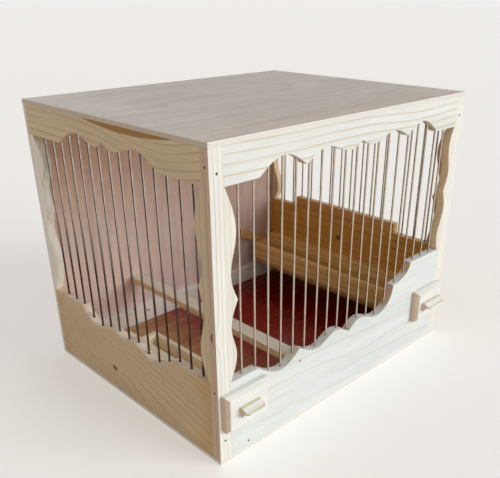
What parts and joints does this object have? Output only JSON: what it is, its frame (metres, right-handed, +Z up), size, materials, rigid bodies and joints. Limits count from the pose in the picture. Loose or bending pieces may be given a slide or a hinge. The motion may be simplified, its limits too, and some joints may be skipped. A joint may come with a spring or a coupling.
{
  "type": "canary breeding cage",
  "caption": "Wooden canary breeding cage with scroll-cut pine boards, steel wires, a lifting wire door on the side and pull-out front drawers.",
  "frame": {"origin": "middle of the underside of the floor panel, where the cage stands", "axes": "+X to the right seen from the front, +Y from the front to the back, +Z up"},
  "size_m": [0.35, 0.2992, 0.285],
  "materials": {
    "front_pine": "planed pine, unvarnished",
    "side_pine": "planed pine, unvarnished",
    "inner_pine": "planed pine, unvarnished",
    "inner_ply": "bare plywood",
    "top_ply": "bare plywood",
    "back_ply": "bare plywood",
    "floor_ply": "bare plywood",
    "wire_steel": "drawn, zinc-coated",
    "nail_steel": "dull"
  },
  "bodies": {
    "frame": {"floor_panel": "floor_ply", "top_panel": "top_ply", "back_panel": "back_ply", "front_left_stile": "front_pine", "front_right_stile": "front_pine", "front_top_rail": "front_pine", "front_bottom_rail": "front_pine", "front_left_strip": "front_pine", "front_right_strip": "front_pine", "left_top_rail": "side_pine", "left_bottom_rail": "side_pine", "left_front_strip": "side_pine", "left_back_strip": "side_pine", "right_top_rail": "side_pine", "right_bottom_rail": "side_pine", "right_front_strip": "side_pine", "right_back_strip": "side_pine", "back_top_rail": "inner_pine", "back_bottom_rail": "inner_pine", "front_wires": "wire_steel", "left_wires": "wire_steel", "right_front_wires": "wire_steel", "right_back_wires": "wire_steel", "door_hinge_wire": "wire_steel", "cross_bar": "inner_pine", "left_drawer_shelf": "inner_ply", "left_drawer_guide": "inner_pine", "left_drawer_kicker": "inner_pine", "right_drawer_shelf": "inner_ply", "right_drawer_guide": "inner_pine", "right_drawer_kicker": "inner_pine", "rear_guide_board": "inner_ply", "front_nails": "nail_steel", "side_nails": "nail_steel", "top_nails": "nail_steel", "back_nails": "nail_steel", "floor_nails": "nail_steel"},
    "side_door": {"door_wires": "wire_steel", "door_bar": "side_pine"},
    "left_drawer": {"left_drawer_face": "front_pine", "left_drawer_pull": "front_pine", "left_drawer_outer_wall": "inner_pine", "left_drawer_inner_wall": "inner_pine", "left_drawer_back": "inner_pine", "left_drawer_floor": "inner_ply"},
    "right_drawer": {"right_drawer_face": "front_pine", "right_drawer_pull": "front_pine", "right_drawer_outer_wall": "inner_pine", "right_drawer_inner_wall": "inner_pine", "right_drawer_back": "inner_pine", "right_drawer_floor": "inner_ply"}
  },
  "joints": [
    {"name": "side_door_swing", "type": "hinge", "parent": "frame", "child": "side_door", "pos_m": [0.1705, 0.00666, 0.246], "axis": [0, -1, 0], "range_deg": [0, 100]},
    {"name": "left_drawer_slide", "type": "slide", "parent": "frame", "child": "left_drawer", "axis": [0, -1, 0], "range_m": [0, 0.135]},
    {"name": "right_drawer_slide", "type": "slide", "parent": "frame", "child": "right_drawer", "axis": [0, -1, 0], "range_m": [0, 0.23]}
  ]
}
